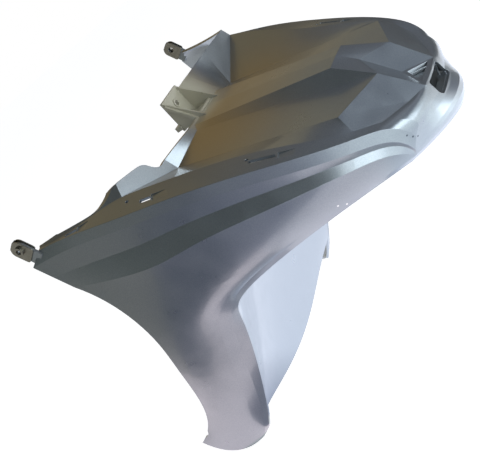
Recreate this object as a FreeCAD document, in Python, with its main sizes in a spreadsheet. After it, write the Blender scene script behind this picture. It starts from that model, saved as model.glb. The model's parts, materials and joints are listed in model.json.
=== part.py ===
import FreeCAD, Part
import math
import os

# Front panel of a scooter: one thin injection-moulded shell and two U-shaped clip nuts.
# Frame: X is lateral, the vehicle's right side is -X, forward is -Y, +Z is up.
# The origin is the centre of the screw hole in the top-centre bracket. Lengths in mm.

Vector = FreeCAD.Vector

doc = FreeCAD.newDocument("scooter_front_panel")

# Driving dimensions
SIZES = [
    ("shoulder_half_width", 195.0, "outer half width at the upper rear corners"),
    ("nose_half_width", 76.0, "half width of the blunt nose"),
    ("leg_half_width", 150.0, "outer half width at the foot of the legs"),
    ("nose_reach", 246.0, "from the screw hole forward to the tip of the nose"),
    ("leg_drop", 316.0, "from the screw hole down to the foot of the legs"),
    ("wall", 2.8, "wall thickness of the moulding"),
    ("step_height", 12.0, "height of the step under the flange"),
    ("cove_depth", 4.5, "depth of the hollow between step and bead"),
    ("plate_half_width", 19.0, "half width of the bracket plate"),
    ("plate_top", 12.0, "bracket plate above the hole"),
    ("plate_foot", 24.0, "bracket plate below the hole"),
    ("hole_radius", 2.75, "screw hole"),
    ("gusset_run", 36.0, "length of the gussets along the floor"),
    ("gusset_wall", 2.2, "thickness of the gussets"),
    ("notch_inner", 22.0, "inner end of the cable notch"),
    ("notch_outer", 101.0, "outer end of the cable notch"),
    ("notch_floor", 19.0, "notch floor below the screw hole"),
    ("window_half_width", 21.0, "half width of the window in the nose"),
    ("window_height", 16.0, "height of the window in the nose"),
    ("slot_length", 26.0, "length of the hook slots in the flange"),
    ("slot_width", 4.0, "width of the hook slots"),
    ("pin_hole_radius", 1.6, "small holes behind the slots"),
    ("tab_length", 28.0, "length of the corner tabs"),
    ("tab_width", 15.0, "width of the corner tabs"),
    ("tab_hole_radius", 4.0, "hole in the corner tabs"),
    ("clip_length", 21.0, "length of the clip nuts"),
    ("clip_wall", 1.0, "sheet of the clip nut"),
    ("clip_gap", 0.3, "clearance between clip and tab"),
    ("clip_bore_radius", 2.6, "thread bore of the clip nut"),
    ("rim_drop", 309.0, "lower edge of the wheel side wall below the screw hole"),
]
sheet = doc.addObject("Spreadsheet::Sheet", "Sizes")
for line, (alias, value, note) in enumerate(SIZES, start=1):
    sheet.set("A%d" % line, alias)
    sheet.set("B%d" % line, str(value))
    sheet.set("C%d" % line, note)
    sheet.setAlias("B%d" % line, alias)
doc.recompute()


def size(alias):
    return float(sheet.get(alias))


def blend(t):
    """Smooth 0 to 1."""
    t = min(1.0, max(0.0, t))
    return t * t * (3.0 - 2.0 * t)


def place(x, y, z):
    """A drawn point, carried to the driving dimensions.

    The ends of the drawn lines give the sizes at which they were drawn, and the
    arc of a leg's foot hangs 3 mm below its corner.
    """
    corner, foot, tip = STEP_TOP[0], BAND_OUTER[-1], BEAD[-1]
    drawn_reach = max(-point[1] for point in NOSE_CENTRE)
    drawn_drop = 3.0 - foot[2]
    front = blend((corner[1] - y) / 290.0)
    low = blend((-z - 140.0) / 150.0)
    shoulder = size("shoulder_half_width") / corner[0]
    nose = size("nose_half_width") / tip[0]
    leg = size("leg_half_width") / foot[0]
    wide = shoulder + (nose - shoulder) * front
    wide = wide + (leg - wide) * low
    if y < 0.0:
        y = y * size("nose_reach") / drawn_reach
    if z < -40.0:
        z = -40.0 + (z + 40.0) * (size("leg_drop") - 40.0) / (drawn_drop - 40.0)
    return Vector(x * wide, y, z)


def line_of(points):
    return [place(*p) for p in points]


# Lines along the side, from the upper rear corner forward to the nose (left side, x > 0)
ARM_TOP = [(190, 80, 8), (173, 38, 5), (151, -5, 6)]
FLANGE_INNER = [(192, 80, 6.5), (177, 38, 0), (158, -5, -6), (150, -31, -14), (121, -112, -47),
                (101.5, -190, -85), (84, -207, -98), (75, -222, -110), (70, -225, -122)]
STEP_TOP = [(195, 80, 6), (188, 38, -2), (178, -7, -15), (171, -35, -23), (148, -110, -50),
            (114, -189, -86), (98, -208, -98), (86, -217, -111), (76, -219, -128)]
BEAD = [(195, 83, -42), (188, 40, -59), (181, -6, -70), (174, -32, -73), (151, -104, -88),
        (116, -177, -110), (100, -195, -120), (87, -204, -131), (76, -208, -143)]

# Rear edge, outer and inner edge of the band round the wheel arch, from top to bottom
REAR_EDGE = [(195, 83, -42), (185, 71, -106), (180, 77, -142), (174, 92, -182),
             (164, 128, -256), (163, 163, -283)]
BAND_OUTER = [(76, -208, -143), (139, -84, -134), (149, -20, -145),
              (152, 14, -172), (152, 66, -268), (150, 101, -313)]
BAND_INNER = [(75, -201, -147), (135, -84, -140), (144, -15, -153),
              (146, 8, -177), (146, 57, -263), (145, 93, -309)]

# Centre line of the wall behind the wheel, nose front to lower edge
WELL_CENTRE = [(0, -240, -152), (0, -110, -108), (0, -28, -120),
               (0, 22, -150), (0, 82, -258), (0, 88, -318)]

# Nose front on the centre line, top to bottom
NOSE_CENTRE = [(0, -234, -111), (0, -235.2, -118), (0, -236.6, -125), (0, -240, -131),
               (0, -245, -137), (0, -246, -142), (0, -244, -147), (0, -240, -152)]

# Tray between the flanges: rear and front ends of its fold lines
PLATEAU_REAR = (34, -25, -21)
PLATEAU_FRONT = (22, -170, -52)
STEP_REAR = (40, -27, -25)
NOSE_TOP = (30, -206, -77)
FLOOR_REAR = (82, -12, -34)
FLOOR_FRONT = (92, -183, -71)
CENTRE_REAR = (0, -25, -20)
CENTRE_FRONT = (0, -171, -51)
GROOVE_TOP = (0, -186, -66)
GROOVE_END = (0, -211, -98)
NOSE_EDGE = (26, -232, -111)
NOSE_EDGE_OUTER = (49.7, -222, -107)
LIP = [(0, -3, 8), (34, -3, 8), (42, -4, 8), (92, -6, 8)]

# Stations of the side lines, from the rear forward, and those where the tray's pieces meet them
STATIONS = ["corner", "arm", "tray rear", "behind the tray", "middle", "tray front",
            "facet front", "nose side", "nose end"]
REAR_INDEX = STATIONS.index("tray rear")
FRONT_INDEX = STATIONS.index("tray front")
FACET_INDEX = STATIONS.index("facet front")


def lerp(a, b, t):
    return a + (b - a) * t


def fractions(points):
    """Share of the length at each point of a line."""
    run = [0.0]
    for a, b in zip(points, points[1:]):
        run.append(run[-1] + a.distanceToPoint(b))
    return [r / run[-1] for r in run]


def side_lines():
    """Rows of points of one side: flange, step, cove and flank."""
    inner = line_of(FLANGE_INNER)
    top = line_of(STEP_TOP)
    drop = size("step_height")
    foot = [p + Vector(1.5, 0.62 * drop, -0.8 * drop) for p in top]
    foot[0] = foot[0] + Vector(4.5, 8.0, 0.5)
    bead = line_of(BEAD)
    fade = [0.0, 0.7, 1.0, 1.0, 1.0, 1.0, 1.0, 0.75, 0.0]
    cove = []
    for share, a, b in zip(fade, foot, bead):
        cove.append(lerp(a, b, 0.5) + Vector(-size("cove_depth") * share, 0, 0))
    share = fractions(bead)
    rear = line_of(REAR_EDGE)
    band = line_of(BAND_OUTER)
    flank = [bead]
    for a, b in list(zip(rear, band))[1:]:
        row = []
        for t in share:
            bulge = 4.0 * t * (1.0 - t)
            sag = 10.0 * bulge if b is band[-1] else 0.0
            row.append(lerp(a, b, t) + Vector(7.0 * bulge, 0, -sag))
        flank.append(row)
    return inner, top, foot, cove, flank


def full(points):
    """A whole line as one row of a grid."""
    return (points, 0, len(points) - 1)


def net(*rows):
    return [full(row) for row in rows]


def half_grids():
    """Grids of one side, each with the direction its visible face looks in."""
    inner, top, foot, cove, flank = side_lines()
    arm = line_of(ARM_TOP)
    band_in = line_of(BAND_INNER)
    band_out = [row[-1] for row in flank]
    floor_rear, floor_front = line_of([FLOOR_REAR, FLOOR_FRONT])
    step_rear, nose_top = line_of([STEP_REAR, NOSE_TOP])
    plateau_rear, plateau_front = line_of([PLATEAU_REAR, PLATEAU_FRONT])
    centre_rear, centre_front = line_of([CENTRE_REAR, CENTRE_FRONT])
    groove_top, groove_end = line_of([GROOVE_TOP, GROOVE_END])
    edge, edge_outer = line_of([NOSE_EDGE, NOSE_EDGE_OUTER])
    lip = line_of(LIP)
    up = Vector(0, 0, 1)
    out = Vector(1, 0, 0)
    ahead = Vector(0, -1, 0)
    last = len(inner) - 1
    cuts = [0, REAR_INDEX, FRONT_INDEX, FACET_INDEX, last]
    grids = []
    for a, b in zip(cuts, cuts[1:]):
        look = up + ahead if a == FACET_INDEX else up
        edge_row = full(inner[a:]) if a == FACET_INDEX else (inner, a, b)
        grids.append(([edge_row, (top, a, b)], look))
    grids += [
        ([full(arm), (inner, 0, REAR_INDEX)], up + out),
        ([(inner, REAR_INDEX, FRONT_INDEX), full([floor_rear, floor_front])], up),
        (net([floor_rear, floor_front], [step_rear, nose_top]), up),
        (net([step_rear, nose_top], [plateau_rear, plateau_front]), up + out),
        (net([plateau_rear, plateau_front], [centre_rear, centre_front]), up),
        (net([plateau_front, nose_top], [centre_front, groove_top]), up + ahead),
        (net([nose_top, edge], [groove_top, groove_end]), up + ahead),
        ([full([floor_front, edge_outer]), (inner, FRONT_INDEX, FACET_INDEX)], up + ahead),
        (net([nose_top, edge], [floor_front, edge_outer]), up + ahead),
        (net([centre_rear, plateau_rear], [lip[0], lip[1]]), up + ahead),
        (net([plateau_rear, step_rear], [lip[1], lip[2]]), up + ahead),
        (net([step_rear, floor_rear], [lip[2], lip[3]]), up + ahead),
        (net([floor_rear, inner[REAR_INDEX]], [lip[3], arm[-1]]), up + ahead),
        (net(top, foot), out),
        (net(foot, cove), out - up),
        (net(cove, flank[0]), out + up),
        (net(*flank), out),
        (net(band_out, band_in), out + ahead),
    ]
    return grids


def mirrored(p):
    return Vector(-p.x, p.y, p.z)


def whole(half):
    """A row from the left side over the middle to the right side."""
    return half + [mirrored(p) for p in reversed(half[:-1])]


def across_grids():
    """Grids that cross the middle: nose front, opening above it, wheel side wall."""
    inner, top, foot, cove, flank = side_lines()
    band_in = line_of(BAND_INNER)
    side = inner[FACET_INDEX:] + [top[-1], foot[-1], cove[-1], flank[0][-1], band_in[0]]
    centre = line_of(NOSE_CENTRE)
    edge, edge_outer = line_of([NOSE_EDGE, NOSE_EDGE_OUTER])
    nose = [whole([side[0], edge_outer, edge, centre[0]])]
    for s, c in list(zip(side, centre))[1:]:
        half = [s]
        for t in (0.66, 0.33):
            half.append(Vector(s.x * t, c.y + (s.y - c.y) * t * t, lerp(c, s, t).z))
        nose.append(whole(half + [c]))
    well = [nose[-1]]
    for s, c in list(zip(band_in, line_of(WELL_CENTRE)))[1:]:
        half = [s]
        for t in (0.66, 0.33):
            p = lerp(c, s, t * t)
            half.append(Vector(s.x * t, p.y, p.z))
        well.append(whole(half + [c]))
    ahead = Vector(0, -1, 0)
    up = Vector(0, 0, 1)
    grids = [(net(*well), ahead - up)]
    for k in range(6):
        rows = [full(nose[0][k:k + 2]), (nose[1], k, k + 1), (nose[2], k, k + 1)]
        grids.append((rows, ahead))
    for a, b in ((2, 3), (3, 4), (4, 5), (5, 6), (6, 7)):
        grids.append((net(*nose[a:b + 1]), ahead))
    groove_end = place(*GROOVE_END)
    grids.append((net([edge, centre[0]], [groove_end, mirrored(edge)]), up + ahead))
    return grids, well[-1]


def turned(row):
    points, a, b = row
    return ([mirrored(p) for p in points], a, b)


def skin():
    """Every grid of the visible skin, and its free edges."""
    grids, well_foot = across_grids()
    for rows, look in half_grids():
        grids.append((rows, look))
        grids.append(([turned(row) for row in rows], Vector(-look.x, look.y, look.z)))
    inner, top, foot, cove, flank = side_lines()
    lip = line_of(LIP)
    arm = line_of(ARM_TOP)
    rims = [full(lip[k:k + 2]) for k in range(3)]
    rims += [full([lip[3], arm[-1]]), full(arm), full([arm[0], inner[0]])]
    rims += [full([inner[0], top[0]]), full([top[0], foot[0]])]
    rims += [full([foot[0], cove[0]]), full([cove[0], flank[0][0]])]
    rims.append(full([row[0] for row in flank]))
    rims += [full(flank[-1]), full([flank[-1][-1], line_of(BAND_INNER)[-1]])]
    rims += [turned(row) for row in rims]
    rims.append(full(well_foot))
    return grids, rims


def key(p):
    return (round(p.x, 3), round(p.y, 3), round(p.z, 3))


def spread(row, count):
    """Points of a polyline at even shares of its stations."""
    points = []
    for j in range(count + 1):
        share = j * (len(row) - 1.0) / count
        k = min(int(share), len(row) - 2)
        points.append(lerp(row[k], row[k + 1], share - k))
    return points


def cells(upper, lower):
    """Four-cornered cells between two rows."""
    count = max(len(upper), len(lower)) - 1
    upper = spread(upper, count)
    lower = spread(lower, count)
    return [(upper[j], upper[j + 1], lower[j], lower[j + 1]) for j in range(count)]


def points_behind(grids, wall):
    """For each point of the skin, the point one wall thickness behind it."""
    normals = {}
    for rows, look in grids:
        found = []
        total = Vector()
        cut = [points[a:b + 1] for points, a, b in rows]
        for upper, lower in zip(cut, cut[1:]):
            for a, b, c, d in cells(upper, lower):
                n = (d - a).cross(c - b)
                total = total + n
                n.normalize()
                found.append(((a, b, c, d), n))
        sign = 1.0 if total.dot(look) > 0 else -1.0
        for corners, n in found:
            for p in corners:
                normals.setdefault(key(p), []).append(n * sign)
    behind = {}
    for where, found in normals.items():
        mean = Vector()
        for n in found:
            mean = mean + n
        mean.normalize()
        lean = min(mean.dot(n) for n in found)
        behind[where] = Vector(*where) - mean * (wall / max(lean, 0.6))
    return behind


def marks(points):
    """Curve parameters of a row: real spacing for the long lines, even for the others."""
    for long_line in (BEAD, REAR_EDGE):
        if len(points) == len(long_line):
            return fractions([Vector(*p) for p in long_line])
    return [float(k) for k in range(len(points))]


def breaks(points):
    """Stations at which a long line is divided between faces."""
    last = len(points) - 1
    if len(points) == len(BEAD):
        return [0, FRONT_INDEX, last]
    if len(points) == len(REAR_EDGE):
        return [0, 1, 3, last]
    return [0, last]


def curve_through(points, at=None):
    curve = Part.BSplineCurve()
    curve.interpolate(Points=points, Parameters=at or marks(points))
    return curve


def edge_of(row):
    """A row's own smooth curve between two of its stations."""
    points, a, b = row
    if len(points) == 2:
        return Part.makeLine(points[0], points[1])
    curve = curve_through(points)
    at = marks(points)
    if b - a < len(points) - 1:
        curve.segment(at[a], at[b])
    return curve.toShape()


def refined(row, count):
    """Points of a row's own smooth curve between two neighbouring stations."""
    points, a, b = row
    curve = curve_through(points)
    at = marks(points)
    return [curve.value(lerp(at[a], at[b], k / float(count))) for k in range(count + 1)]


def strips(upper, lower):
    """Ruled faces between two rows, divided where long lines are."""
    spans = [None]
    if upper[1:] == lower[1:] and upper[2] == len(upper[0]) - 1:
        at = breaks(upper[0])
        spans = list(zip(at, at[1:]))
    faces = []
    for span in spans:
        pair = [(row[0],) + span if span else row for row in (upper, lower)]
        faces.append(Part.makeRuledSurface(edge_of(pair[0]), edge_of(pair[1])))
    return faces


def surface(rows):
    """Smooth faces through a grid of rows."""
    if len(rows) == 2:
        return strips(rows[0], rows[1])
    if all(b - a == len(points) - 1 > 1 for points, a, b in rows):
        cut = [points for points, a, b in rows]
    else:
        cut = [refined(row, 3) for row in rows]
    curves = [curve_through(points) for points in cut]
    poles = [c.getPoles() for c in curves]
    columns = [curve_through([row[k] for row in poles]) for k in range(len(poles[0]))]
    web = [[c.getPole(i + 1) for c in columns] for i in range(columns[0].NbPoles)]
    result = Part.BSplineSurface()
    result.buildFromPolesMultsKnots(
        web, columns[0].getMultiplicities(), curves[0].getMultiplicities(),
        columns[0].getKnots(), curves[0].getKnots(), False, False,
        columns[0].Degree, curves[0].Degree)
    down = [marks(cut)[k] for k in breaks(cut)]
    along = [marks(cut[0])[k] for k in breaks(cut[0])]
    faces = []
    for u, v in zip(down, down[1:]):
        for r, t in zip(along, along[1:]):
            piece = result.copy()
            piece.segment(u, v, r, t)
            faces.append(piece.toShape())
    return faces


def shell_solid():
    """The moulding: visible skin, hidden skin and the edges between them, closed to a solid."""
    grids, rims = skin()
    behind = points_behind(grids, size("wall"))

    def backed(row):
        points, a, b = row
        return ([behind[key(p)] for p in points], a, b)

    faces = []
    for rows, look in grids:
        faces += surface(rows) + surface([backed(row) for row in rows])
    for row in rims:
        faces += surface([row, backed(row)])
    joined = Part.makeCompound(faces)
    joined.sewShape(0.08)
    solid = Part.Solid(joined.Shells[0] if joined.Shells else joined)
    if solid.Volume < 0:
        solid.reverse()
    return solid, joined


def feature(name, shape, label=None):
    obj = doc.addObject("Part::Feature", name)
    obj.Shape = shape
    obj.Label = label or name
    return obj


def bound_box(name, length, width, height):
    box = doc.addObject("Part::Box", name)
    box.setExpression("Length", length)
    box.setExpression("Width", width)
    box.setExpression("Height", height)
    return box


def bound_cylinder(name, radius, height):
    cylinder = doc.addObject("Part::Cylinder", name)
    cylinder.setExpression("Radius", radius)
    cylinder.setExpression("Height", height)
    return cylinder


def on_side(x, side):
    return x if side > 0 else -x


def along_flange(y, across):
    """Point on the flange at a distance along the vehicle, the way forward and the normal there."""
    inner = curve_through(line_of(FLANGE_INNER))
    top = curve_through(line_of(STEP_TOP))

    def crossing(curve, at_y):
        level = Part.Plane(Vector(0, at_y, 0), Vector(0, 1, 0))
        found = curve.intersectCS(level)[0][0]
        return Vector(found.X, found.Y, found.Z)

    ends = []
    for at_y in (y, y - 4.0):
        ends.append((crossing(inner, at_y), crossing(top, at_y)))
    here = lerp(ends[0][0], ends[0][1], across)
    ahead = (lerp(ends[1][0], ends[1][1], across) - here).normalize()
    slant = (ends[0][1] - ends[0][0]).normalize()
    normal = slant.cross(ahead).normalize()
    if normal.z < 0:
        normal = normal * -1.0
    return here, ahead, normal


def oriented(here, ahead, normal, side):
    """Placement with local X pointing forward along the flange and local Z out of it."""
    if side < 0:
        here, ahead, normal = mirrored(here), mirrored(ahead), mirrored(normal)
    turn = FreeCAD.Rotation(ahead, normal.cross(ahead), normal, "ZXY")
    return FreeCAD.Placement(here, turn)


def slot_cut(y, across, length, side):
    """Slot through the flange, long way forward."""
    width = size("slot_width")
    box = Part.makeBox(length, width, 14.0, Vector(-length / 2.0, -width / 2.0, -7.0))
    ends = [e for e in box.Edges if abs(e.tangentAt(0).z) > 0.9]
    box = box.makeFillet(width * 0.3, ends)
    box.Placement = oriented(*along_flange(y, across), side)
    return box


def pin_hole(y, across, side):
    """Small round hole behind a slot."""
    hole = Part.makeCylinder(size("pin_hole_radius"), 14.0, Vector(0, 0, -7.0))
    hole.Placement = oriented(*along_flange(y, across), side)
    return hole


def tongue_cut(y, across, length, side):
    """Sunken ramp in front of a slot, deepest where it meets the slot."""
    width = size("slot_width") + 3.0
    depth = 0.55 * size("wall")
    profile = Part.makePolygon([
        Vector(0, -width / 2.0, 6.0), Vector(length, -width / 2.0, 6.0),
        Vector(length, -width / 2.0, 0.0), Vector(0, -width / 2.0, -depth),
        Vector(0, -width / 2.0, 6.0)])
    ramp = Part.Face(profile).extrude(Vector(0, width, 0))
    ramp.Placement = oriented(*along_flange(y, across), side)
    return ramp


# Hook slots of a side: place along the vehicle, share of the way to the step, share of full length
SLOTS = [(45.0, 0.5, 0.5), (-28.0, 0.6, 0.42), (-124.0, 0.46, 0.95)]
PIN_HOLES = [(-10.5, 0.35), (-111.0, 0.32)]
RAMPS = [(38.5, 0.5, 12.0), (-33.5, 0.6, 16.0), (-136.5, 0.48, 15.0)]


def rim_cutter():
    """Lower edge of the wheel side wall: a shallow arc from leg to leg."""
    low = size("rim_drop")
    wide = size("leg_half_width") - 9.5
    a, b, c = Vector(-wide, 0, -low + 25.0), Vector(0, 0, -low), Vector(wide, 0, -low + 25.0)
    arc = Part.Arc(a, b, c).toShape()
    foot = -size("leg_drop") - 30.0
    sides = Part.makePolygon([c, Vector(wide, 0, foot), Vector(-wide, 0, foot), a])
    face = Part.Face(Part.Wire([arc] + sides.Edges))
    face.translate(Vector(0, 30.0, 0))
    return face.extrude(Vector(0, 90.0, 0))


# Upper edge that the notch leaves on the right arm, from the tray to the rear
ARM_CUT = [(117, 0, -2), (130, 0, 1), (150, 0, 5), (156, 0, 3.5), (163, 0, -0.5),
           (169, 0, -0.8), (176, 0, 1.8), (184, 0, 6), (194, 0, 11)]


def notch_cutter():
    """Cable notch in the right half of the rear wall of the tray."""
    inner = -size("notch_inner")
    outer = -size("notch_outer")
    floor = -size("notch_floor")
    rise = [Vector(outer + 10.0, 0, floor), Vector(outer + 3.0, 0, floor + 0.8),
            Vector(outer - 3.0, 0, floor + 6.0), Vector(outer - 8.0, 0, floor + 13.0)]
    rise += [mirrored(point) for point in line_of(ARM_CUT)]
    edge = curve_through(rise).toShape()
    high = 40.0
    sides = Part.makePolygon([rise[-1], Vector(rise[-1].x, 0, high), Vector(inner, 0, high),
                              Vector(inner, 0, floor), rise[0]])
    face = Part.Face(Part.Wire([edge] + sides.Edges))
    face.translate(Vector(0, -31.0, 0))
    return face.extrude(Vector(0, 92.0, 0))


def window_cutter():
    """Window in the nose front, under its upper edge."""
    half = size("window_half_width")
    tall = size("window_height")
    top = NOSE_EDGE[2] - 2.0
    start = Vector(-half, -size("nose_reach") - 12.0, top - tall)
    box = Part.makeBox(2.0 * half, 36.0, tall, start)
    along = [e for e in box.Edges if abs(e.tangentAt(0).y) > 0.9]
    return box.makeFillet(3.0, along)


def mouth_cutter():
    """Triangular opening at the end of the groove."""
    edge = place(*NOSE_EDGE)
    end = place(*GROOVE_END)
    corners = [Vector(edge.x - 7.0, edge.y + 3.6, edge.z - 14.0),
               Vector(0, end.y - 4.0, edge.z - 14.0),
               Vector(-edge.x + 7.0, edge.y + 3.6, edge.z - 14.0)]
    face = Part.Face(Part.makePolygon(corners + corners[:1]))
    return face.extrude(Vector(0, 0, 40.0))


def hook_cutter(side):
    """Round notch above the rear hook at the foot of a leg."""
    x = size("leg_half_width")
    foot = -size("leg_drop")
    start = Vector(on_side(x - 20.0, side), 153.0, foot + 48.5)
    return Part.makeCylinder(10.5, 80.0, start, Vector(on_side(1.0, side), 0, 0))


def tab_frame(side):
    """Centre of a corner tab; local X points along the tab from its root, local Z outwards."""
    lean = math.radians(62.0)
    along = Vector(0, math.cos(lean), math.sin(lean))
    outwards = Vector(1.0, 0, 0)
    centre = place(*STEP_TOP[0]) + Vector(1.0, 14.0, 10.5)
    if side < 0:
        centre, outwards = mirrored(centre), mirrored(outwards)
    turn = FreeCAD.Rotation(along, outwards.cross(along), outwards, "ZXY")
    return FreeCAD.Placement(centre, turn)


def corner_tab(side):
    """Upright tab with a round end, on the upper rear corner."""
    wall = size("wall")
    half = size("tab_width") / 2.0
    root = size("tab_length") - half
    plate = Part.makeBox(root, 2.0 * half, wall, Vector(-root, -half, -wall / 2.0))
    end = Part.makeCylinder(half, wall, Vector(0, 0, -wall / 2.0))
    hole = Part.makeCylinder(size("tab_hole_radius"), 3.0 * wall, Vector(0, 0, -1.5 * wall))
    tab = plate.fuse(end).cut(hole).removeSplitter()
    tab.Placement = tab_frame(side)
    return tab


def clip_nut(side):
    """Spring steel nut folded over the round end of a tab, with a collar on the outer face."""
    sheet_wall = size("clip_wall")
    half_gap = size("wall") / 2.0 + size("clip_gap")
    half = size("tab_width") / 2.0 + size("clip_gap")
    reach = half + sheet_wall
    tall = half_gap + sheet_wall
    back = size("clip_length") - reach
    outer = Part.makeBox(reach + back, 2.0 * reach, 2.0 * tall, Vector(-back, -reach, -tall))
    corners = [e for e in outer.Edges
               if abs(e.tangentAt(0).z) > 0.9 and e.CenterOfMass.x > 0]
    outer = outer.makeFillet(reach * 0.8, corners)
    rear = [e for e in outer.Edges
            if abs(e.tangentAt(0).z) > 0.9 and e.CenterOfMass.x < -back + 1.0]
    outer = outer.makeFillet(2.5, rear)
    space = Part.makeBox(back + half, 2.0 * reach + 4.0, 2.0 * half_gap,
                         Vector(-back, -reach - 2.0, -half_gap))
    bridge_width = 0.62 * size("tab_width")
    bridge = Part.makeBox(sheet_wall, bridge_width, 2.0 * tall,
                          Vector(half, -bridge_width / 2.0, -tall))
    legs = outer.cut(space)
    legs = legs.common(Part.makeBox(back + half, 2.0 * reach, 2.0 * tall,
                                    Vector(-back, -reach, -tall)))
    collar = Part.makeCylinder(4.6, 2.6, Vector(0, 0, tall - 0.2))
    bore = Part.makeCylinder(size("clip_bore_radius"), 20.0, Vector(0, 0, half_gap - 0.5))
    back_hole = Part.makeCylinder(size("tab_hole_radius") - 0.6, 6.0, Vector(0, 0, -tall - 1.0))
    clip = legs.fuse([bridge, collar]).cut(bore).cut(back_hole).removeSplitter()
    clip.Placement = tab_frame(side)
    return clip


# Moulded shell and everything that is cut from it
blank, stitched = shell_solid()
moulding = feature("Moulding", blank)
cutters = [rim_cutter(), notch_cutter(), window_cutter(), mouth_cutter()]
for side in (1, -1):
    cutters.append(hook_cutter(side))
    cutters += [slot_cut(y, t, share * size("slot_length"), side) for y, t, share in SLOTS]
    cutters += [pin_hole(y, t, side) for y, t in PIN_HOLES]
    cutters += [tongue_cut(y, t, length, side) for y, t, length in RAMPS]
openings = feature("Openings", Part.makeCompound(cutters))

bracket_space = bound_box("BracketSpace", "2 * Sizes.plate_half_width", "40", "60")
bracket_space.setExpression("Placement.Base.x", "-Sizes.plate_half_width")
bracket_space.setExpression("Placement.Base.y", "-24")
bracket_space.setExpression("Placement.Base.z", "-18.5")
trimmed = doc.addObject("Part::Cut", "Trimmed")
trimmed.Base = moulding
trimmed.Tool = openings
cleared = doc.addObject("Part::Cut", "Cleared")
cleared.Base = trimmed
cleared.Tool = bracket_space

# Bracket: upright plate with the screw hole, floor behind the tray and two gussets
plate = bound_box("Plate", "2 * Sizes.plate_half_width", "Sizes.wall",
                  "Sizes.plate_top + Sizes.plate_foot")
plate.setExpression("Placement.Base.x", "-Sizes.plate_half_width")
plate.setExpression("Placement.Base.y", "-Sizes.wall / 2")
plate.setExpression("Placement.Base.z", "-Sizes.plate_foot")
ledge = bound_box("BracketFloor", "2 * Sizes.plate_half_width", "29", "Sizes.wall")
ledge.setExpression("Placement.Base.x", "-Sizes.plate_half_width")
ledge.setExpression("Placement.Base.y", "-29 + Sizes.wall / 2")
ledge.setExpression("Placement.Base.z", "-20.4 - Sizes.wall")
boss = bound_cylinder("HoleBoss", "Sizes.hole_radius + 1.9", "Sizes.wall + 1")
boss.Placement = FreeCAD.Placement(Vector(0, size("wall") / 2.0, 0),
                                   FreeCAD.Rotation(Vector(1, 0, 0), 90))
hole = bound_cylinder("ScrewHole", "Sizes.hole_radius", "20")
hole.Placement = FreeCAD.Placement(Vector(0, 10, 0), FreeCAD.Rotation(Vector(1, 0, 0), 90))


def gusset(side):
    run = size("gusset_run")
    wall = size("gusset_wall")
    outline = Part.makePolygon([
        Vector(0, 0, size("plate_top") - 0.5), Vector(0, -run, -25.0), Vector(0, -run + 4.0, -26.0),
        Vector(0, 0, -22.5), Vector(0, 0, size("plate_top") - 0.5)])
    rib = Part.Face(outline).extrude(Vector(wall, 0, 0))
    start = size("plate_half_width") - wall if side > 0 else -size("plate_half_width")
    rib.translate(Vector(start, 0, 0))
    return rib


added = [gusset(1), gusset(-1), corner_tab(1), corner_tab(-1)]
small = Part.makeBox(8.0, 8.0, 5.0, Vector(-size("plate_half_width") - 1.0, -0.5, -21.5))
added.append(small)
extras = [feature("Extra%d" % k, shape) for k, shape in enumerate(added)]

joined = doc.addObject("Part::MultiFuse", "Joined")
joined.Shapes = [cleared, plate, ledge, boss] + extras
panel = doc.addObject("Part::Cut", "Panel")
panel.Label = "front_panel"
panel.Base = joined
panel.Tool = hole

left_clip = feature("LeftClip", clip_nut(1), "clip_nut_left")
right_clip = feature("RightClip", clip_nut(-1), "clip_nut_right")
doc.recompute()

NODES = [panel, left_clip, right_clip]
for obj in doc.Objects:
    state = set(obj.State)
    if state & {"Invalid", "Error"}:
        raise RuntimeError("%s: %s" % (obj.Name, obj.State))
for obj in NODES:
    shape = obj.Shape
    if shape.isNull() or not shape.isValid():
        raise RuntimeError("%s has no valid shape" % obj.Label)
    print(obj.Label, "solids", len(shape.Solids), "volume", round(shape.Volume),
          "box", [round(v, 1) for v in (shape.BoundBox.XMin, shape.BoundBox.XMax,
                                        shape.BoundBox.YMin, shape.BoundBox.YMax,
                                        shape.BoundBox.ZMin, shape.BoundBox.ZMax)])

os.makedirs("parts", exist_ok=True)
for obj in NODES:
    obj.Shape.exportStep("parts/%s.step" % obj.Label)
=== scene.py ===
# %% [markdown]
# # Scooter front panel
# The real part is one thin moulding: two flanks that end in legs, an arch for the wheel, a tray on
# top and a bracket behind it, sprayed silver. A spring steel nut is clipped on each upper corner.
# The CAD model already holds these shapes, so this script gives them finishes, light and a camera.

# %% Load the CAD model
import json

import bmesh
import bpy
from mathutils import Matrix, Vector

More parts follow.
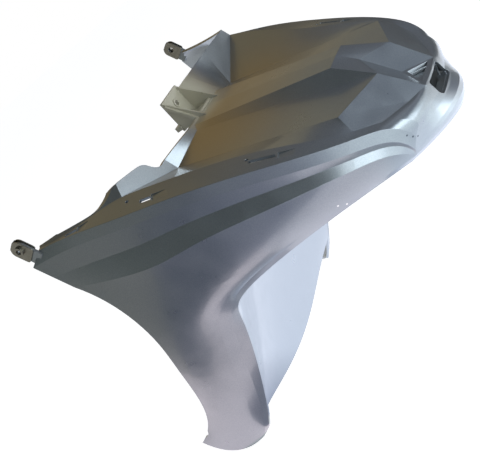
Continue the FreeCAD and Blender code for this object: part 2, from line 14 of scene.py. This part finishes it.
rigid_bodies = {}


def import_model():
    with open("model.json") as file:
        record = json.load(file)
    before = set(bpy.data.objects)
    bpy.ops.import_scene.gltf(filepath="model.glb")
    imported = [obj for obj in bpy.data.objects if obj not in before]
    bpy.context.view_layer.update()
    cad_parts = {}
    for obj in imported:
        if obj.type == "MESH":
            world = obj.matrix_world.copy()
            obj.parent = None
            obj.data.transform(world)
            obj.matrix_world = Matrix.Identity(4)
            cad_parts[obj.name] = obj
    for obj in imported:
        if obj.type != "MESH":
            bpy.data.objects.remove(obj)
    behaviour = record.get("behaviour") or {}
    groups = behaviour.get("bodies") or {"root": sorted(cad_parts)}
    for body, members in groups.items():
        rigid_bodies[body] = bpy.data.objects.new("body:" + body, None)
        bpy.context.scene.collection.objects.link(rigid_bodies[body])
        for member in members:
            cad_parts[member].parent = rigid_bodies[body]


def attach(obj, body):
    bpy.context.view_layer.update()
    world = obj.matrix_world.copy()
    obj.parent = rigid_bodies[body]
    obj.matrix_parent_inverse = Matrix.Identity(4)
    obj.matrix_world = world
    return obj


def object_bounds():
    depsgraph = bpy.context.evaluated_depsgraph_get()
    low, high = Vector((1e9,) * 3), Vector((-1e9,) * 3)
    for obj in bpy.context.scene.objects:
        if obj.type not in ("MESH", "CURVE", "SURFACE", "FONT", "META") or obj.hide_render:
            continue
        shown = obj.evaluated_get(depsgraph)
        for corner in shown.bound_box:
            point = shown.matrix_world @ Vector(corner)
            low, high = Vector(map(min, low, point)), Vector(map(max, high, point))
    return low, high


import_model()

MM = 0.001
cad_bounds = [list(corner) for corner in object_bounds()]
print("CAD box", cad_bounds)


# %% [markdown]
# ## Helpers for materials
# Colours are read off a screen as sRGB hex, but Blender works in linear light, so one function
# turns every colour over. A second one adds a node with its settings and links in one call, which
# keeps each finish short enough to read as a recipe.

# %% Colour and node helpers
def linear(hex_colour):
    """sRGB hex colour as linear RGBA, by the standard's two-part curve."""
    parts = [int(hex_colour[i:i + 2], 16) / 255.0 for i in (1, 3, 5)]
    return [p / 12.92 if p <= 0.04045 else ((p + 0.055) / 1.055) ** 2.4 for p in parts] + [1.0]


def add_node(tree, kind, settings=None, inputs=None):
    """A node with its settings; an input is a constant, or an output that is linked to it."""
    node = tree.nodes.new(kind)
    for name, value in (settings or {}).items():
        setattr(node, name, value)
    for name, value in (inputs or {}).items():
        if isinstance(value, bpy.types.NodeSocket):
            tree.links.new(value, node.inputs[name])
        else:
            node.inputs[name].default_value = value
    return node


def new_material(name):
    """An empty material, its node tree and its output node."""
    material = bpy.data.materials.new(name)
    material.use_nodes = True
    material.node_tree.nodes.clear()
    return material, material.node_tree, add_node(material.node_tree, "ShaderNodeOutputMaterial")


print("screen grey #808080 in linear light", round(linear("#808080")[0], 3))


# %% [markdown]
# ## Numbers and colours in a node tree
# A finish that was sprayed by hand changes over the part, so the paint needs to know where it is.
# Every node of the CAD model sits at the origin, so object coordinates are the part's own metres.
# A smooth Map Range turns one of them into a soft edge between two places given in millimetres,
# and a plain one spreads a number over the range that a finish needs.

# %% Places, soft edges and mixes
def part_place(tree):
    """The place on the part, in metres."""
    return add_node(tree, "ShaderNodeTexCoord").outputs["Object"]


def split(tree, vector):
    """The three numbers of a place, a direction or a colour."""
    return add_node(tree, "ShaderNodeSeparateXYZ", inputs={"Vector": vector}).outputs[:]


def smooth_step(tree, value, start, end):
    """0 before the first number, 1 after the second, smooth between them."""
    return add_node(tree, "ShaderNodeMapRange", {"interpolation_type": "SMOOTHSTEP"}, {
        "Value": value, "From Min": start, "From Max": end}).outputs[0]


def soft_edge(tree, value, start_mm, end_mm):
    """A smooth step between two lengths in millimetres."""
    return smooth_step(tree, value, start_mm * MM, end_mm * MM)


def spread(tree, value, to_min, to_max, from_min=0.0, from_max=1.0):
    """A number spread evenly over another range."""
    return add_node(tree, "ShaderNodeMapRange", inputs={
        "Value": value, "From Min": from_min, "From Max": from_max,
        "To Min": to_min, "To Max": to_max}).outputs[0]


def combined(tree, operation, first, second):
    """Two numbers through one sum, clamped to 0..1."""
    return add_node(tree, "ShaderNodeMath", {"operation": operation, "use_clamp": True},
                    {0: first, 1: second}).outputs[0]


def blended(tree, share, first, second):
    """Two colours mixed by a share; the Mix node keeps its colour sockets at 6, 7 and 2."""
    return add_node(tree, "ShaderNodeMix", {"data_type": "RGBA"},
                    {"Factor": share, 6: first, 7: second}).outputs[2]


def cloud(tree, vector, size_mm, detail, roughness=0.5):
    """Noise whose lumps are about this size."""
    return add_node(tree, "ShaderNodeTexNoise", inputs={
        "Vector": vector, "Scale": 1.0 / (size_mm * MM), "Detail": detail,
        "Roughness": roughness}).outputs[0]


# %% [markdown]
# ## Bare bracket, a painted reflection on the tray and painted light on the wall
# The moulding is ivory ABS, sprayed with a silver base coat and a clear lacquer. The spray gun
# reaches the outside well, but the bracket gets little of it, so the ivory shows through there.
# The upward-facing rear of the tray is tinted warm tan, which is a painted reflection of warm
# surroundings. The wall behind the wheel, low down and between the legs, looks bright in the
# photograph, and the lighter colour there is painted light. The wall behind the wheel, low down and
# between the legs, looks bright in the photograph, and a lighter coat there is a guess. The masks
# could be painted by hand on an unwrapped copy, but places and directions of the part say the same
# without a picture.

# %% Masks
# Where each mask is 0 and where it is 1, in millimetres
BRACKET_FROM_HOLE = (62.0, 24.0)
TRAY_REAR_Y = (-175.0, -40.0)
TRAY_MIDDLE_X = (150.0, 50.0)
WELL_Z = (-112.0, -150.0)
WELL_X = (146.0, 141.0)
# The same for the upward part of a direction, which has no unit
FACING_UP = (0.25, 0.8)


def bracket_mask(tree, vector):
    """1 on the bracket, which stands round the origin."""
    distance = add_node(tree, "ShaderNodeVectorMath", {"operation": "LENGTH"},
                        {0: vector}).outputs["Value"]
    return soft_edge(tree, distance, *BRACKET_FROM_HOLE)


def tray_reflection_mask(tree, y):
    """1 on what faces up at the rear, where a warm reflection is painted."""
    normal = add_node(tree, "ShaderNodeNewGeometry").outputs["Normal"]
    facing_up = smooth_step(tree, split(tree, normal)[2], *FACING_UP)
    return combined(tree, "MULTIPLY", facing_up, soft_edge(tree, y, *TRAY_REAR_Y))


def well_light_mask(tree, side, z):
    """1 low down between the legs, where painted light brightens the wall."""
    return combined(tree, "MULTIPLY", soft_edge(tree, z, *WELL_Z), soft_edge(tree, side, *WELL_X))


print("the bracket stays bare within", BRACKET_FROM_HOLE[1], "mm of its screw hole")

# %% [markdown]
# ## Stone chips
# Stones have chipped the lacquer in a few places: two pale chips on the near flank and three dark
# ones on the bead. They are about 2 mm wide and have no depth that shows, so each one is a round
# spot of colour and not a dent in the mesh.

# %% Chips
CHIP_MM = 1.1
CHIP_CORE = 0.6  # the share of that radius that is chipped right through
PALE_CHIPS = ((-121.9, -143.9, -129.3), (-117.4, -149.2, -133.7))
DARK_CHIPS = ((-82.4, -216.2, -120.2), (-78.4, -217.8, -125.4), (-73.9, -219.5, -129.1))


def chips(tree, vector, centres):
    """1 inside small round chips round these places, in millimetres."""
    found = 0.0
    for centre in centres:
        away = add_node(tree, "ShaderNodeVectorMath", {"operation": "DISTANCE"},
                        {0: vector, 1: Vector(centre) * MM}).outputs["Value"]
        chip = soft_edge(tree, away, CHIP_MM, CHIP_CORE * CHIP_MM)
        found = combined(tree, "MAXIMUM", found, chip)
    return found


print(len(PALE_CHIPS), "pale chips and", len(DARK_CHIPS), "dark ones")

# %% [markdown]
# ## Colour of the paint
# The silver is full of small flakes that each look a little lighter or darker. They are 0.02 mm
# wide, too fine to show, so they are drawn at 0.5 mm. The painted warm reflection on the tray,
# the painted light on the wall behind the wheel, the bare bracket and the chips are laid over it
# one by one.

# %% Paint colour
FLAKE_MM = 0.5
SILVER = ("#8a9197", "#969da2")
# Warm tan painted reflection on the upward-facing rear of the tray
TRAY_PAINTED_REFLECTION = ("#8b8677", "#a98f5e")
TRAY_PAINTED_REFLECTION_SHARE = 0.8
# Painted light: a lighter colour on the wall behind the wheel
WELL_PAINTED_LIGHT = "#b9bfc6"
WELL_PAINTED_LIGHT_SHARE = 0.7
IVORY = ("#a8a592", "#bdb9a6")
DARK_CHIP = "#3a3f4c"
PALE_CHIP = "#f2f2ee"


def between(tree, share, colours):
    """A colour between two sRGB ones."""
    return blended(tree, share, linear(colours[0]), linear(colours[1]))


def paint_colour(tree, vector, bracket, patches):
    """Silver with bare and chipped places, a painted reflection on the tray and painted light
    below.
    """
    x, y, z = split(tree, vector)
    side = add_node(tree, "ShaderNodeMath", {"operation": "ABSOLUTE"}, {0: x}).outputs[0]
    flakes = add_node(tree, "ShaderNodeTexVoronoi", inputs={
        "Vector": vector, "Scale": 1.0 / (FLAKE_MM * MM)}).outputs["Color"]
    colour = between(tree, split(tree, flakes)[0], SILVER)

    # A painted warm reflection on what faces up at the rear of the tray
    tray_reflection_share = combined(tree, "MULTIPLY", tray_reflection_mask(tree, y), TRAY_PAINTED_REFLECTION_SHARE)
    tray_reflection_tone = between(tree, soft_edge(tree, side, *TRAY_MIDDLE_X), TRAY_PAINTED_REFLECTION)
    colour = blended(tree, tray_reflection_share, colour, tray_reflection_tone)

    # Painted light on the wall behind the wheel
    light = combined(tree, "MULTIPLY", well_light_mask(tree, side, z), WELL_PAINTED_LIGHT_SHARE)
    colour = blended(tree, light, colour, linear(WELL_PAINTED_LIGHT))
    colour = blended(tree, bracket, colour, between(tree, patches, IVORY))
    colour = blended(tree, chips(tree, vector, DARK_CHIPS), colour, linear(DARK_CHIP))
    return blended(tree, chips(tree, vector, PALE_CHIPS), colour, linear(PALE_CHIP))


print("silver between", *SILVER)

# %% [markdown]
# ## Silver metallic paint on ABS
# A metallic base coat under a clear lacquer is one Principled shader: the metal part for the
# flakes, and the coat for the lacquer. The lacquer dries with a faint orange peel, waves of about
# 3 mm, which is too shallow to model and goes in as a bump. The edges that the mould rounds are
# rounded in the shading too. The gloss varies a little in patches, and the bare bracket is no
# metal.

# %% Paint
PEEL_MM = 3.0
PEEL_DEPTH_MM = 0.3
PEEL_STRENGTH = 0.06
EDGE_MM = 0.6
PATCH_MM = 26.0
PATCH_RANGE = (0.3, 0.7)
PAINT_ROUGHNESS = (0.27, 0.38)
METAL_OF_SILVER = 0.8
METAL_OF_IVORY = 0.05
LACQUER = {"Coat Weight": 0.5, "Coat Roughness": 0.08}


def silver_paint():
    """Sprayed silver that thins out towards the ivory bracket."""
    material, tree, out = new_material("Silver metallic paint on ABS")
    vector = part_place(tree)
    bracket = bracket_mask(tree, vector)
    patches = cloud(tree, vector, PATCH_MM, detail=4.0, roughness=0.6)
    edges = add_node(tree, "ShaderNodeBevel", {"samples": 4}, {"Radius": EDGE_MM * MM}).outputs[0]
    peel = add_node(tree, "ShaderNodeBump", inputs={
        "Strength": PEEL_STRENGTH, "Distance": PEEL_DEPTH_MM * MM, "Normal": edges,
        "Height": cloud(tree, vector, PEEL_MM, detail=1.0)}).outputs[0]
    shader = add_node(tree, "ShaderNodeBsdfPrincipled", inputs={
        "Base Color": paint_colour(tree, vector, bracket, patches),
        "Metallic": spread(tree, bracket, METAL_OF_SILVER, METAL_OF_IVORY),
        "Roughness": spread(tree, patches, *PAINT_ROUGHNESS, *PATCH_RANGE),
        "Normal": peel, "Coat Normal": peel, **LACQUER})
    tree.links.new(shader.outputs[0], out.inputs[0])
    return material


paint = silver_paint()
print(paint.name, len(paint.node_tree.nodes), "nodes")

# %% [markdown]
# ## Zinc plated spring steel
# The clip nuts are stamped from sheet and zinc plated: a dull grey metal, with a faint yellow of
# the passivated film in cloudy patches. One noise drives both the colour and the roughness, so
# that the lighter patches are the duller ones.

# %% Zinc
FILM_MM = 2.5
FILM = ("#77746a", "#a9a69c")
FILM_ROUGHNESS = (0.28, 0.48)


def zinc_steel():
    """Dull plated sheet with cloudy film."""
    material, tree, out = new_material("Zinc plated spring steel")
    film = cloud(tree, part_place(tree), FILM_MM, detail=3.0, roughness=0.6)
    shader = add_node(tree, "ShaderNodeBsdfPrincipled", inputs={
        "Base Color": between(tree, film, FILM), "Metallic": 1.0,
        "Roughness": spread(tree, film, *FILM_ROUGHNESS)})
    tree.links.new(shader.outputs[0], out.inputs[0])
    return material


zinc = zinc_steel()
print(zinc.name, len(zinc.node_tree.nodes), "nodes")


# %% [markdown]
# ## Bars with rounded edges
# The moulding has a few small ledges and ribs inside the nose. They are too fine for the shell's
# own model, so they are made here: an outline pushed along a depth, with its edges rounded as a
# mould leaves them. They sit inside the shell and move with it.

# %% Bars and ribs
BAR_ROUND_MM = 0.3


def bar(name, outline, depth):
    """A closed bar: an outline in millimetres, pushed along a depth, with its edges rounded."""
    low_ring = [Vector(point) * MM for point in outline]
    high_ring = [point + Vector(depth) * MM for point in low_ring]
    count = len(outline)
    sides = [(i, (i + 1) % count, (i + 1) % count + count, i + count) for i in range(count)]
    caps = [tuple(reversed(range(count))), tuple(range(count, 2 * count))]
    mesh = bpy.data.meshes.new(name)
    mesh.from_pydata(low_ring + high_ring, [], sides + caps)
    shape = bmesh.new()
    shape.from_mesh(mesh)
    bmesh.ops.recalc_face_normals(shape, faces=shape.faces)
    bmesh.ops.bevel(shape, geom=shape.edges[:], offset=BAR_ROUND_MM * MM, segments=2, profile=0.5,
                    affect="EDGES")
    shape.to_mesh(mesh)
    shape.free()
    mesh.materials.append(paint)
    piece = bpy.data.objects.new(name, mesh)
    bpy.context.scene.collection.objects.link(piece)
    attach(piece, "root")
    print(name, len(mesh.polygons), "faces")


def rib(name, start, end, across, tall):
    """A straight rib between two places, with a width across and a height."""
    start, end, across = Vector(start), Vector(end), Vector(across)
    bar(name, [start, end, end + across, start + across], tall)


# %% [markdown]
# ## Parts behind the window
# A return flange runs under the opening in the nose, and a thin rib crosses its far upper corner.
# Only their front edges show, so the flange is one bar with its bent end in the outline, and how
# far it reaches back is a guess.

# %% Window flange and rib
WINDOW_FLANGE = [(-20.5, -235.0, -128.8), (18.5, -235.0, -128.8), (20.8, -234.6, -126.0),
                 (22.0, -234.4, -126.0), (20.5, -235.0, -130.6), (-20.5, -235.0, -130.6)]
bar("window_flange", WINDOW_FLANGE, depth=(0.0, 9.5, 0.0))
rib("window_rib", start=(22.0, -232.4, -111.5), end=(11.5, -232.4, -124.5),
    across=(1.5, 0.0, 1.2), tall=(0.0, 2.6, 0.0))

# %% [markdown]
# ## Floor of the groove
# The groove on the nose ends in a three-sided recess. In the CAD model that is an opening, so a
# thin plate closes it from below, with the rib that stands on it.

# %% Groove floor and rib
GROOVE_FLOOR = [(0.0, -208.0, -103.5), (-25.0, -230.0, -111.8), (25.0, -230.0, -111.8)]
bar("groove_floor", GROOVE_FLOOR, depth=(0.0, 0.0, -1.5))
rib("groove_rib", start=(-4.0, -212.0, -104.6), end=(7.0, -229.0, -111.0),
    across=(1.3, 0.8, 0.0), tall=(0.0, 0.0, 3.0))

# %% [markdown]
# ## Put the finishes on
# The panel is painted and the nuts are plated. Each CAD node keeps its mesh, and only the material
# in its slot changes.

# %% Assign
for part in [o for o in bpy.data.objects if o.name.startswith(("front_panel", "clip_nut"))]:
    part.data.materials.clear()
    part.data.materials.append(zinc if "clip_nut" in part.name else paint)
    print(part.name, len(part.data.polygons), "faces")


# %% [markdown]
# ## Floor
# The photograph has a plain white background. A brighter floor would throw too much light up at
# the part, so the floor is pale, and a plain glow is added only where it is seen directly or in a
# reflection. That brings it up to white and leaves the part's soft shadow.

# %% Floor
FLOOR_GLOW = 0.78
FLOOR_TONE = "#dcdcdc"
FLOOR_SIZE = 14.0  # metres
FLOOR_GAP_MM = 0.5


def direct_ray(tree):
    """1 for what the camera, a reflection or glass sees, 0 for light that falls on a surface."""
    ray = add_node(tree, "ShaderNodeLightPath").outputs
    seen = combined(tree, "MAXIMUM", ray["Is Camera Ray"], ray["Is Transmission Ray"])
    return combined(tree, "MAXIMUM", seen, ray["Is Glossy Ray"])


floor_height = cad_bounds[0][2] - FLOOR_GAP_MM * MM
bpy.ops.mesh.primitive_plane_add(size=FLOOR_SIZE, location=(0.0, 0.0, floor_height))
floor = bpy.context.object
floor.name = "floor"
material, tree, out = new_material("Plain white floor")
matt = add_node(tree, "ShaderNodeBsdfDiffuse", inputs={"Color": linear(FLOOR_TONE)})
shown = combined(tree, "MULTIPLY", direct_ray(tree), FLOOR_GLOW)
glow = add_node(tree, "ShaderNodeEmission", inputs={
    "Color": linear("#ffffff"), "Strength": shown})
both = add_node(tree, "ShaderNodeAddShader", inputs={0: matt.outputs[0], 1: glow.outputs[0]})
tree.links.new(both.outputs[0], out.inputs[0])
floor.data.materials.append(material)
print("floor at", round(floor_height, 4), "m")

# %% [markdown]
# ## Background
# A white world would light the part from all round and wash out its folds. So the world is white
# where it is seen directly or in a reflection, and a calm grey where it only lights the part.

# %% World
WORLD_GREY = "#c9ccd0"
WORLD_GREY_STRENGTH = 0.5
world = bpy.data.worlds.new("Studio")
bpy.context.scene.world = world
world.use_nodes = True
tree = world.node_tree
tree.nodes.clear()
grey = add_node(tree, "ShaderNodeBackground", inputs={
    "Color": linear(WORLD_GREY), "Strength": WORLD_GREY_STRENGTH})
white = add_node(tree, "ShaderNodeBackground", inputs={"Color": linear("#ffffff"), "Strength": 1.0})
mix = add_node(tree, "ShaderNodeMixShader",
               inputs={0: direct_ray(tree), 1: grey.outputs[0], 2: white.outputs[0]})
add_node(tree, "ShaderNodeOutputWorld", inputs={"Surface": mix.outputs[0]})
print("world", world.name, "lights with", WORLD_GREY, "times", WORLD_GREY_STRENGTH)


# %% [markdown]
# ## Cards that the paint mirrors
# Silver paint has little colour of its own: it shows what stands round it. Photographers put cards
# there. These are only seen in reflections, so they neither light the part nor show in a picture.
# Where each card has to stand follows from the way that the surface sends the camera's line of
# sight on, and its tone was matched to the photograph.

# %% A card
def card(name, corner, along, across, first_hex, second_hex, strength):
    """A flat card from one corner along two edges, shaded along the first edge."""
    corner, along, across = Vector(corner), Vector(along), Vector(across)
    mesh = bpy.data.meshes.new(name)
    mesh.from_pydata([corner, corner + along, corner + along + across, corner + across],
                     [], [(0, 1, 2, 3)])
    mesh.update()
    flat = bpy.data.objects.new(name, mesh)
    bpy.context.scene.collection.objects.link(flat)
    material, tree, out = new_material(name + " board")
    spot = add_node(tree, "ShaderNodeTexCoord").outputs["Generated"]
    longest = max(range(3), key=lambda axis: abs(along[axis]))
    tone = between(tree, split(tree, spot)[longest], (first_hex, second_hex))
    glow = add_node(tree, "ShaderNodeEmission", inputs={"Color": tone, "Strength": strength})
    tree.links.new(glow.outputs[0], out.inputs[0])
    mesh.materials.append(material)
    for kind in ("camera", "diffuse", "transmission", "volume_scatter", "shadow"):
        setattr(flat, "visible_" + kind, False)


# %% [markdown]
# ## The set of cards
# The near flank mirrors the floor and the left side, the tray mirrors what hangs over it, and the
# wall behind the wheel mirrors the floor under the arch. One table holds all cards, because only
# their places and tones differ. Left and right are as seen from in front of the nose.

# %% Cards
LOW = floor_height + 4.0 * MM  # just above the floor
OVER = 0.45  # above the part
# Name, corner and two edges in metres, the tones at both ends of the first edge, and strength
CARDS = (
    # On the floor, under and beside the near flank
    ("floor_card_near", (-0.285, -0.25, LOW), (0.145, 0.0, 0.0), (0.0, 0.23, 0.0),
     "#ece8f4", "#f4eef6", 1.6),
    ("floor_card_leg", (-0.285, -0.02, LOW), (0.145, 0.0, 0.0), (0.0, 0.77, 0.0),
     "#f2e4ea", "#f6eaf2", 1.7),
    ("floor_card_arch", (-0.195, -0.02, LOW + MM), (0.055, 0.0, 0.0), (0.0, 0.11, 0.0),
     "#b4b0c4", "#a3a4b8", 1.0),
    ("floor_card_nose", (-0.9, -1.6, LOW), (1.3, 0.0, 0.0), (0.0, 1.35, 0.0),
     "#dce8f0", "#f2fbff", 2.0),
    ("floor_card_side", (-2.0, -0.25, LOW), (1.715, 0.0, 0.0), (0.0, 0.27, 0.0),
     "#3a4048", "#a4a6be", 1.0),
    ("floor_card_mid", (-2.0, 0.02, LOW), (1.715, 0.0, 0.0), (0.0, 0.2, 0.0),
     "#3c403f", "#6d7286", 1.0),
    ("floor_card_rear", (-2.0, 0.22, LOW), (1.715, 0.0, 0.0), (0.0, 1.6, 0.0),
     "#82867a", "#a6a39c", 1.0),
    # Upright on both sides, and over the left one
    ("left_card", (-2.0, -2.2, LOW), (0.0, 4.0, 0.0), (0.0, 0.0, 3.2), "#343b48", "#787d70", 1.0),
    ("right_card", (2.0, -1.35, LOW), (0.0, 3.6, 0.0), (0.0, 0.0, 0.75),
     "#45464c", "#544e42", 1.0),
    ("over_left_card", (-2.0, -1.3, OVER), (1.7, 0.0, 0.0), (0.0, 3.3, 0.0),
     "#34393c", "#4e5252", 1.0),
    # Over the tray
    ("tray_card_rear", (-0.3, 0.0, OVER), (0.0, 2.6, 0.0), (3.3, 0.0, 0.0),
     "#90876f", "#bbaa88", 1.0),
    ("tray_card_front", (-0.3, -1.3, OVER), (0.0, 1.3, 0.0), (3.3, 0.0, 0.0),
     "#727a90", "#625f60", 1.0),
    ("tray_card_glint", (0.25, -0.72, OVER - 10.0 * MM), (0.8, 0.0, 0.0), (0.0, 0.25, 0.0),
     "#b4bac6", "#a4a8b2", 1.0),
    # In front of the nose, and under the wall behind the wheel
    ("nose_card", (-1.9, -2.1, LOW), (3.4, 0.0, 0.0), (0.0, 0.0, 1.3), "#eefbff", "#e4f4ff", 1.6),
    ("wheel_card_edge", (-0.13, -0.5, LOW), (0.11, 0.0, 0.0), (0.0, 1.1, 0.0),
     "#7f889e", "#e6ecfa", 1.7),
    ("wheel_card", (-0.02, -0.5, LOW), (1.2, 0.0, 0.0), (0.0, 1.1, 0.0),
     "#e6ecfa", "#e9edf5", 1.7),
)
for row in CARDS:
    card(*row)
print(len(CARDS), "cards")

# %% [markdown]
# ## Lamps
# One wide soft box stands in front of the nose and lights the nose and the wall behind the wheel. A
# weaker one hangs above. The near flank stays in half shade, as it does in the photograph.

# %% Lamps
LAMP_AIM = (0.0, -0.05, -0.15)


def soft_box(name, place, width, height, power, colour):
    """A rectangular lamp, in metres and watts, that looks at the part."""
    lamp = bpy.data.lights.new(name, "AREA")
    lamp.shape = "RECTANGLE"
    lamp.size = width
    lamp.size_y = height
    lamp.energy = power
    lamp.color = linear(colour)[:3]
    holder = bpy.data.objects.new(name, lamp)
    bpy.context.scene.collection.objects.link(holder)
    holder.location = place
    holder.rotation_euler = (Vector(LAMP_AIM) - Vector(place)).to_track_quat("-Z", "Y").to_euler()
    print(name, power, "W")


soft_box("lamp_front", place=(-0.25, -1.7, 0.0), width=2.6, height=1.1, power=24.0,
         colour="#f4fbff")
soft_box("lamp_top", place=(0.2, 0.2, 1.7), width=1.6, height=1.6, power=5.0, colour="#ffffff")

# %% [markdown]
# ## Camera
# The part is the same left and right, so pairs of its points in the photograph give the camera: its
# place, its directions and a lens of 67.5 mm on a 36 mm sensor. The two directions are made
# exactly square to each other before they are used.

# %% Camera
SENSOR_MM = 36.0
LENS_MM = 67.5
CAMERA_PLACE = Vector((-728.1, -542.1, 151.0)) * MM
CAMERA_RIGHT = Vector((0.29278, -0.695929, -0.655715))
CAMERA_BACK = Vector((-0.731951, -0.604371, 0.314616))
back = CAMERA_BACK.normalized()
up = back.cross(CAMERA_RIGHT.normalized()).normalized()
right = up.cross(back)
camera_data = bpy.data.cameras.new("camera")
camera_data.sensor_width = SENSOR_MM
camera_data.lens = LENS_MM
camera = bpy.data.objects.new("camera", camera_data)
bpy.context.scene.collection.objects.link(camera)
camera.matrix_world = (Matrix.Translation(CAMERA_PLACE)
                       @ Matrix((right, up, back)).transposed().to_4x4())
bpy.context.scene.camera = camera
bpy.context.scene.view_settings.view_transform = "Standard"
print("camera at", [round(v, 4) for v in CAMERA_PLACE], "m, lens", LENS_MM, "mm")
